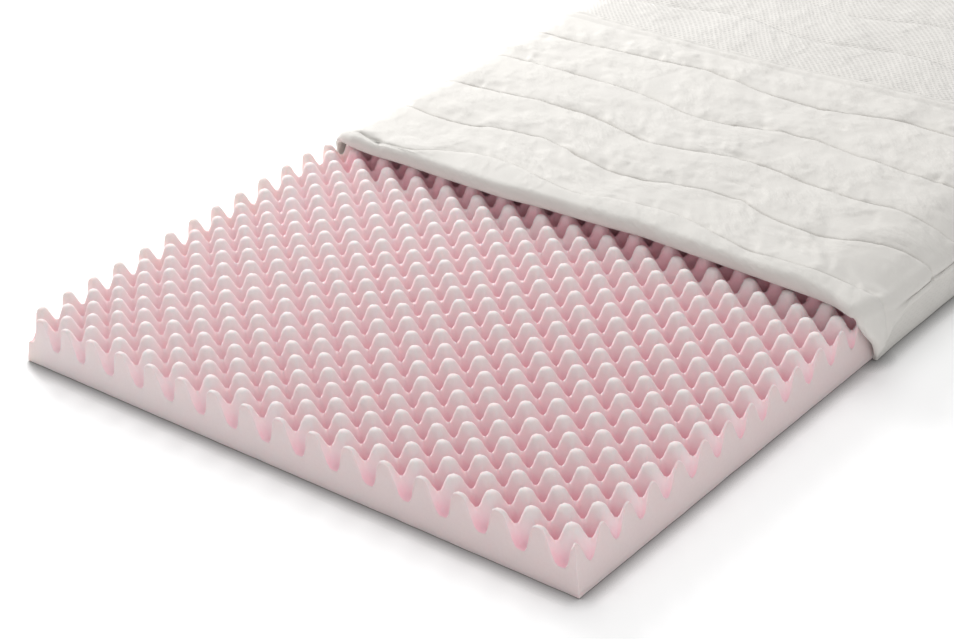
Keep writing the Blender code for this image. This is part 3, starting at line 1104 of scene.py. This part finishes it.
def ring_mesh(name, points):
    """A closed tube from rings of points with a cap at each end."""
    rings, around, _ = points.shape
    index = np.arange(rings * around).reshape(rings, around)
    following = np.roll(index, -1, axis=1)
    quads = np.stack([index[:-1], following[:-1], following[1:], index[1:]], axis=-1).reshape(-1, 4)
    mesh = bpy.data.meshes.new(name)
    mesh.from_pydata(points.reshape(-1, 3).tolist(), [], quads.tolist())
    steps = np.linalg.norm(np.diff(points.mean(axis=1), axis=0), axis=1)
    distance = np.concatenate([[0], np.cumsum(steps)])
    flat = np.tile(distance[:, None], (1, around))
    made = mesh.attributes.new("flat_across", "FLOAT", "POINT")
    made.data.foreach_set("value", flat.astype(np.float32).ravel())
    made = mesh.attributes.new("flat_along", "FLOAT", "POINT")
    made.data.foreach_set("value", points[:, :, 2].astype(np.float32).ravel())
    return mesh


class TOPPER_OT_borders(bpy.types.Operator):
    """Make the border strips below the panel and the border across the head end."""

    bl_idname = "topper.borders"
    bl_label = "Border strips"

    def execute(self, context):
        settings = context.scene.topper_cover
        mat = cloth_material("border_cloth", settings, True)

        for name, sign, shift in (("border_left", -1, LEFT_SHIFT), ("border_right", 1, 0.0)):
            start = SIDE_EDGE[0][0] + shift + SEAM

            def side_top(s):
                return max(float(side_edge(sign, start + s - SEAM)) - SEAM, 0.004)

            def side_place(s, off, height):
                x = sign * (WIDTH / 2 + GAP + STRIP / 2 + SIDE_STRIP_OUT + off)
                return (x, start + s - LENGTH / 2, height)

            points = border_mesh(name, COVERED_END - start, side_top, 2.0 + sign, side_place)
            self.add(name, points, mat, (COVERED_END - start, 0.052))

        half = WIDTH / 2 + GAP + STRIP

        def head_top(s):
            x = min(max(s - half, -WIDTH / 2), WIDTH / 2)
            return float(foam_top(x, COVERED_END)) + HEAD_BORDER_RISE

        def head_place(s, off, height):
            return (s - half, LENGTH / 2 - STRIP / 2 + off + HEAD_STRIP_OUT, height)

        points = border_mesh("border_head", 2 * half, head_top, 7.0, head_place)
        self.add("border_head", points, mat, (2 * half, 0.078))
        return {"FINISHED"}

    def add(self, name, points, mat, flat):
        mesh = ring_mesh(name, points)
        finish_cloth(mesh)
        piece = add_piece(name + "_cloth", mesh, mat)
        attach(piece, "root")
        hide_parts(name)


class TOPPER_OT_stage(bpy.types.Operator):
    """Make the pale floor, the soft light and the camera."""

    bl_idname = "topper.stage"
    bl_label = "Stage"

    def execute(self, context):
        settings = context.scene.topper_stage
        scene = context.scene
        bm = bmesh.new()
        bmesh.ops.create_grid(bm, x_segments=1, y_segments=1, size=FLOOR_SIZE)
        mesh = bpy.data.meshes.new("floor")
        bm.to_mesh(mesh)
        bm.free()
        mat, tree, shader = new_material("pale_floor", {"Roughness": 0.9, "Emission Strength": FLOOR_GLOW})
        # Painted contact shadow: the floor's colour and glow darken near the topper.
        reach = {"Distance": CONTACT_REACH}
        near = tree.value("ShaderNodeAmbientOcclusion", {"samples": 8}, reach, output=1)
        open_share = near**CONTACT_POWER
        shade = tree.mix(open_share, CONTACT_SHADE, tuple(settings.floor))
        glow = tree.mix(open_share, (0, 0, 0, 1), (1, 1, 1, 1))
        tree.links.new(shade, shader.inputs["Base Color"])
        tree.links.new(glow, shader.inputs["Emission Color"])
        add_piece("floor", mesh, mat)
        world = bpy.data.worlds.new("studio")
        world.use_nodes = True
        sky = world.node_tree.nodes["Background"]
        sky.inputs["Color"].default_value = (1, 1, 1, 1)
        sky.inputs["Strength"].default_value = settings.sky
        scene.world = world
        sun = bpy.data.lights.new("key", "SUN")
        sun.energy = settings.key
        sun.angle = math.radians(45)
        key = bpy.data.objects.new("key", sun)
        key.rotation_euler = Vector((0.35, -0.40, -1.0)).to_track_quat("-Z", "Y").to_euler()
        scene.collection.objects.link(key)
        self.lamp("rim", settings.rim, 1.3, (-2.2, 0.5, 1.3), (-0.1, -0.3, 0.05))
        self.lamp("fill", settings.fill, 3.0, (2.85, -2.95, 0.7), (0.2, -0.8, 0.0))
        lens = bpy.data.cameras.new("camera")
        lens.lens = CAMERA_LENS
        lens.sensor_width = CAMERA_SENSOR
        camera = bpy.data.objects.new("camera", lens)
        look = (Vector(CAMERA_AIM) - Vector(CAMERA_PLACE)).to_track_quat("-Z", "Y").to_matrix().to_4x4()
        camera.matrix_world = Matrix.Translation(CAMERA_PLACE) @ look @ Matrix.Rotation(CAMERA_TILT, 4, "Z")
        scene.collection.objects.link(camera)
        scene.camera = camera
        scene.view_settings.view_transform = "Standard"
        return {"FINISHED"}

    def lamp(self, name, power, size, place, aim):
        light = bpy.data.lights.new(name, "AREA")
        light.energy = power
        light.size = size
        lamp = bpy.data.objects.new(name, light)
        lamp.location = place
        lamp.rotation_euler = (Vector(aim) - Vector(place)).to_track_quat("-Z", "Y").to_euler()
        bpy.context.scene.collection.objects.link(lamp)


class TOPPER_PT_pieces(bpy.types.Panel):
    """Lists the pieces of the topper."""

    bl_idname = "TOPPER_PT_pieces"
    bl_label = "Mattress topper"
    bl_space_type = "VIEW_3D"
    bl_region_type = "UI"
    bl_category = "Topper"

    def draw(self, context):
        for operator in OPERATORS:
            self.layout.operator(operator.bl_idname)


SETTINGS = {"topper_foam": FoamSettings, "topper_cover": CoverSettings, "topper_stage": StageSettings}
OPERATORS = (TOPPER_OT_foam, TOPPER_OT_cover, TOPPER_OT_borders, TOPPER_OT_stage)
CLASSES = tuple(SETTINGS.values()) + OPERATORS + (TOPPER_PT_pieces,)


def register():
    for cls in CLASSES:
        bpy.utils.register_class(cls)
    for name, group in SETTINGS.items():
        setattr(bpy.types.Scene, name, PointerProperty(type=group))


def unregister():
    for name in SETTINGS:
        delattr(bpy.types.Scene, name)
    for cls in reversed(CLASSES):
        bpy.utils.unregister_class(cls)


def main():
    register()
    bpy.ops.topper.foam()
    bpy.ops.topper.cover()
    bpy.ops.topper.borders()
    bpy.ops.topper.stage()


if __name__ == "__main__":
    main()
